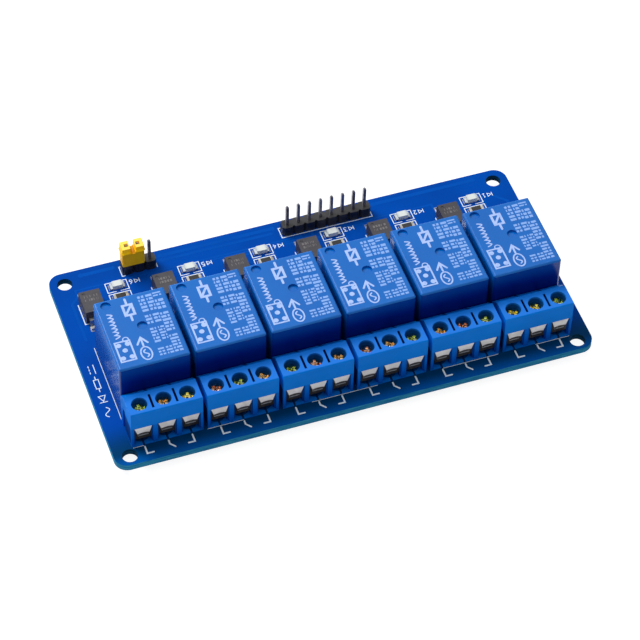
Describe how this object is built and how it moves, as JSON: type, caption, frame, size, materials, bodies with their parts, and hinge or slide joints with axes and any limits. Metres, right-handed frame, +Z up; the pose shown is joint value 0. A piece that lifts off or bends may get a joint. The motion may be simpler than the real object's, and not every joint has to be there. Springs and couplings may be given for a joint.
{
  "type": "relay module board",
  "caption": "Blue relay board: a row of box relays with screw terminal blocks in front, optocouplers, lamps and pin headers behind, and a yellow jumper cap.",
  "frame": {"origin": "board centre in X and Y, on the plane that the pin tips rest on", "axes": "+X along the board, +Y from the terminals to the headers, +Z up out of the board through its mounting holes"},
  "size_m": [0.1054, 0.0544, 0.0192],
  "materials": {
    "circuit_board": "gloss solder mask over fibreglass",
    "relay_case": "blue moulded case",
    "terminal_housing": "blue moulded housing",
    "screw": "yellow zinc plate",
    "clamp": "zinc plate",
    "terminal_contacts": "tinned brass",
    "optocouplers": "grey-brown moulded body",
    "indicator_leds": "cream body with clear top",
    "chip_resistors": "black glaze, tinned ends",
    "driver_transistors": "black moulded body",
    "flyback_diodes": "black moulded body",
    "header_housings": "black moulded",
    "header_pins": "gold flash over brass",
    "jumper_cap": "yellow moulded",
    "jumper_contact": "bare",
    "solder_joints": "bright solder"
  },
  "bodies": {
    "board": {"circuit_board": "circuit_board", "relay_1": "relay_case", "relay_2": "relay_case", "relay_3": "relay_case", "relay_4": "relay_case", "relay_5": "relay_case", "relay_6": "relay_case", "terminal_block_1": "terminal_housing", "terminal_block_2": "terminal_housing", "terminal_block_3": "terminal_housing", "terminal_block_4": "terminal_housing", "terminal_block_5": "terminal_housing", "terminal_block_6": "terminal_housing", "terminal_contacts": "terminal_contacts", "optocouplers": "optocouplers", "indicator_leds": "indicator_leds", "chip_resistors": "chip_resistors", "driver_transistors": "driver_transistors", "flyback_diodes": "flyback_diodes", "header_housings": "header_housings", "header_pins": "header_pins", "solder_joints": "solder_joints"},
    "screw_1": {"terminal_screw_1": "screw"},
    "clamp_1": {"wire_clamp_1": "clamp"},
    "screw_2": {"terminal_screw_2": "screw"},
    "clamp_2": {"wire_clamp_2": "clamp"},
    "screw_3": {"terminal_screw_3": "screw"},
    "clamp_3": {"wire_clamp_3": "clamp"},
    "screw_4": {"terminal_screw_4": "screw"},
    "clamp_4": {"wire_clamp_4": "clamp"},
    "screw_5": {"terminal_screw_5": "screw"},
    "clamp_5": {"wire_clamp_5": "clamp"},
    "screw_6": {"terminal_screw_6": "screw"},
    "clamp_6": {"wire_clamp_6": "clamp"},
    "screw_7": {"terminal_screw_7": "screw"},
    "clamp_7": {"wire_clamp_7": "clamp"},
    "screw_8": {"terminal_screw_8": "screw"},
    "clamp_8": {"wire_clamp_8": "clamp"},
    "screw_9": {"terminal_screw_9": "screw"},
    "clamp_9": {"wire_clamp_9": "clamp"},
    "screw_10": {"terminal_screw_10": "screw"},
    "clamp_10": {"wire_clamp_10": "clamp"},
    "screw_11": {"terminal_screw_11": "screw"},
    "clamp_11": {"wire_clamp_11": "clamp"},
    "screw_12": {"terminal_screw_12": "screw"},
    "clamp_12": {"wire_clamp_12": "clamp"},
    "screw_13": {"terminal_screw_13": "screw"},
    "clamp_13": {"wire_clamp_13": "clamp"},
    "screw_14": {"terminal_screw_14": "screw"},
    "clamp_14": {"wire_clamp_14": "clamp"},
    "screw_15": {"terminal_screw_15": "screw"},
    "clamp_15": {"wire_clamp_15": "clamp"},
    "screw_16": {"terminal_screw_16": "screw"},
    "clamp_16": {"wire_clamp_16": "clamp"},
    "screw_17": {"terminal_screw_17": "screw"},
    "clamp_17": {"wire_clamp_17": "clamp"},
    "screw_18": {"terminal_screw_18": "screw"},
    "clamp_18": {"wire_clamp_18": "clamp"},
    "jumper": {"jumper_cap": "jumper_cap", "jumper_contact": "jumper_contact"}
  },
  "joints": [
    {"name": "screw_turn_1", "type": "hinge", "parent": "board", "child": "screw_1", "pos_m": [-0.04583, -0.0205, 0.0115], "axis": [0, 0, 1], "range_deg": [0, 1120.5]},
    {"name": "clamp_slide_1", "type": "slide", "parent": "board", "child": "clamp_1", "axis": [0, 0, 1], "range_m": [-0.0014, 0]},
    {"name": "screw_turn_2", "type": "hinge", "parent": "board", "child": "screw_2", "pos_m": [-0.04075, -0.0205, 0.0115], "axis": [0, 0, 1], "range_deg": [0, 1120.5]},
    {"name": "clamp_slide_2", "type": "slide", "parent": "board", "child": "clamp_2", "axis": [0, 0, 1], "range_m": [-0.0014, 0]},
    {"name": "screw_turn_3", "type": "hinge", "parent": "board", "child": "screw_3", "pos_m": [-0.03567, -0.0205, 0.0115], "axis": [0, 0, 1], "range_deg": [0, 1120.5]},
    {"name": "clamp_slide_3", "type": "slide", "parent": "board", "child": "clamp_3", "axis": [0, 0, 1], "range_m": [-0.0014, 0]},
    {"name": "screw_turn_4", "type": "hinge", "parent": "board", "child": "screw_4", "pos_m": [-0.02953, -0.0205, 0.0115], "axis": [0, 0, 1], "range_deg": [0, 1120.5]},
    {"name": "clamp_slide_4", "type": "slide", "parent": "board", "child": "clamp_4", "axis": [0, 0, 1], "range_m": [-0.0014, 0]},
    {"name": "screw_turn_5", "type": "hinge", "parent": "board", "child": "screw_5", "pos_m": [-0.02445, -0.0205, 0.0115], "axis": [0, 0, 1], "range_deg": [0, 1120.5]},
    {"name": "clamp_slide_5", "type": "slide", "parent": "board", "child": "clamp_5", "axis": [0, 0, 1], "range_m": [-0.0014, 0]},
    {"name": "screw_turn_6", "type": "hinge", "parent": "board", "child": "screw_6", "pos_m": [-0.01937, -0.0205, 0.0115], "axis": [0, 0, 1], "range_deg": [0, 1120.5]},
    {"name": "clamp_slide_6", "type": "slide", "parent": "board", "child": "clamp_6", "axis": [0, 0, 1], "range_m": [-0.0014, 0]},
    {"name": "screw_turn_7", "type": "hinge", "parent": "board", "child": "screw_7", "pos_m": [-0.01323, -0.0205, 0.0115], "axis": [0, 0, 1], "range_deg": [0, 1120.5]},
    {"name": "clamp_slide_7", "type": "slide", "parent": "board", "child": "clamp_7", "axis": [0, 0, 1], "range_m": [-0.0014, 0]},
    {"name": "screw_turn_8", "type": "hinge", "parent": "board", "child": "screw_8", "pos_m": [-0.00815, -0.0205, 0.0115], "axis": [0, 0, 1], "range_deg": [0, 1120.5]},
    {"name": "clamp_slide_8", "type": "slide", "parent": "board", "child": "clamp_8", "axis": [0, 0, 1], "range_m": [-0.0014, 0]},
    {"name": "screw_turn_9", "type": "hinge", "parent": "board", "child": "screw_9", "pos_m": [-0.00307, -0.0205, 0.0115], "axis": [0, 0, 1], "range_deg": [0, 1120.5]},
    {"name": "clamp_slide_9", "type": "slide", "parent": "board", "child": "clamp_9", "axis": [0, 0, 1], "range_m": [-0.0014, 0]},
    {"name": "screw_turn_10", "type": "hinge", "parent": "board", "child": "screw_10", "pos_m": [0.00307, -0.0205, 0.0115], "axis": [0, 0, 1], "range_deg": [0, 1120.5]},
    {"name": "clamp_slide_10", "type": "slide", "parent": "board", "child": "clamp_10", "axis": [0, 0, 1], "range_m": [-0.0014, 0]},
    {"name": "screw_turn_11", "type": "hinge", "parent": "board", "child": "screw_11", "pos_m": [0.00815, -0.0205, 0.0115], "axis": [0, 0, 1], "range_deg": [0, 1120.5]},
    {"name": "clamp_slide_11", "type": "slide", "parent": "board", "child": "clamp_11", "axis": [0, 0, 1], "range_m": [-0.0014, 0]},
    {"name": "screw_turn_12", "type": "hinge", "parent": "board", "child": "screw_12", "pos_m": [0.01323, -0.0205, 0.0115], "axis": [0, 0, 1], "range_deg": [0, 1120.5]},
    {"name": "clamp_slide_12", "type": "slide", "parent": "board", "child": "clamp_12", "axis": [0, 0, 1], "range_m": [-0.0014, 0]},
    {"name": "screw_turn_13", "type": "hinge", "parent": "board", "child": "screw_13", "pos_m": [0.01937, -0.0205, 0.0115], "axis": [0, 0, 1], "range_deg": [0, 1120.5]},
    {"name": "clamp_slide_13", "type": "slide", "parent": "board", "child": "clamp_13", "axis": [0, 0, 1], "range_m": [-0.0014, 0]},
    {"name": "screw_turn_14", "type": "hinge", "parent": "board", "child": "screw_14", "pos_m": [0.02445, -0.0205, 0.0115], "axis": [0, 0, 1], "range_deg": [0, 1120.5]},
    {"name": "clamp_slide_14", "type": "slide", "parent": "board", "child": "clamp_14", "axis": [0, 0, 1], "range_m": [-0.0014, 0]},
    {"name": "screw_turn_15", "type": "hinge", "parent": "board", "child": "screw_15", "pos_m": [0.02953, -0.0205, 0.0115], "axis": [0, 0, 1], "range_deg": [0, 1120.5]},
    {"name": "clamp_slide_15", "type": "slide", "parent": "board", "child": "clamp_15", "axis": [0, 0, 1], "range_m": [-0.0014, 0]},
    {"name": "screw_turn_16", "type": "hinge", "parent": "board", "child": "screw_16", "pos_m": [0.03567, -0.0205, 0.0115], "axis": [0, 0, 1], "range_deg": [0, 1120.5]},
    {"name": "clamp_slide_16", "type": "slide", "parent": "board", "child": "clamp_16", "axis": [0, 0, 1], "range_m": [-0.0014, 0]},
    {"name": "screw_turn_17", "type": "hinge", "parent": "board", "child": "screw_17", "pos_m": [0.04075, -0.0205, 0.0115], "axis": [0, 0, 1], "range_deg": [0, 1120.5]},
    {"name": "clamp_slide_17", "type": "slide", "parent": "board", "child": "clamp_17", "axis": [0, 0, 1], "range_m": [-0.0014, 0]},
    {"name": "screw_turn_18", "type": "hinge", "parent": "board", "child": "screw_18", "pos_m": [0.04583, -0.0205, 0.0115], "axis": [0, 0, 1], "range_deg": [0, 1120.5]},
    {"name": "clamp_slide_18", "type": "slide", "parent": "board", "child": "clamp_18", "axis": [0, 0, 1], "range_m": [-0.0014, 0]},
    {"name": "jumper_pull", "type": "slide", "parent": "board", "child": "jumper", "axis": [0, 0, 1], "range_m": [0, 0.008]}
  ],
  "couplings": [
    {"joint": "screw_turn_1", "follows": "clamp_slide_1", "rad_per_m": -13963},
    {"joint": "screw_turn_2", "follows": "clamp_slide_2", "rad_per_m": -13963},
    {"joint": "screw_turn_3", "follows": "clamp_slide_3", "rad_per_m": -13963},
    {"joint": "screw_turn_4", "follows": "clamp_slide_4", "rad_per_m": -13963},
    {"joint": "screw_turn_5", "follows": "clamp_slide_5", "rad_per_m": -13963},
    {"joint": "screw_turn_6", "follows": "clamp_slide_6", "rad_per_m": -13963},
    {"joint": "screw_turn_7", "follows": "clamp_slide_7", "rad_per_m": -13963},
    {"joint": "screw_turn_8", "follows": "clamp_slide_8", "rad_per_m": -13963},
    {"joint": "screw_turn_9", "follows": "clamp_slide_9", "rad_per_m": -13963},
    {"joint": "screw_turn_10", "follows": "clamp_slide_10", "rad_per_m": -13963},
    {"joint": "screw_turn_11", "follows": "clamp_slide_11", "rad_per_m": -13963},
    {"joint": "screw_turn_12", "follows": "clamp_slide_12", "rad_per_m": -13963},
    {"joint": "screw_turn_13", "follows": "clamp_slide_13", "rad_per_m": -13963},
    {"joint": "screw_turn_14", "follows": "clamp_slide_14", "rad_per_m": -13963},
    {"joint": "screw_turn_15", "follows": "clamp_slide_15", "rad_per_m": -13963},
    {"joint": "screw_turn_16", "follows": "clamp_slide_16", "rad_per_m": -13963},
    {"joint": "screw_turn_17", "follows": "clamp_slide_17", "rad_per_m": -13963},
    {"joint": "screw_turn_18", "follows": "clamp_slide_18", "rad_per_m": -13963}
  ]
}
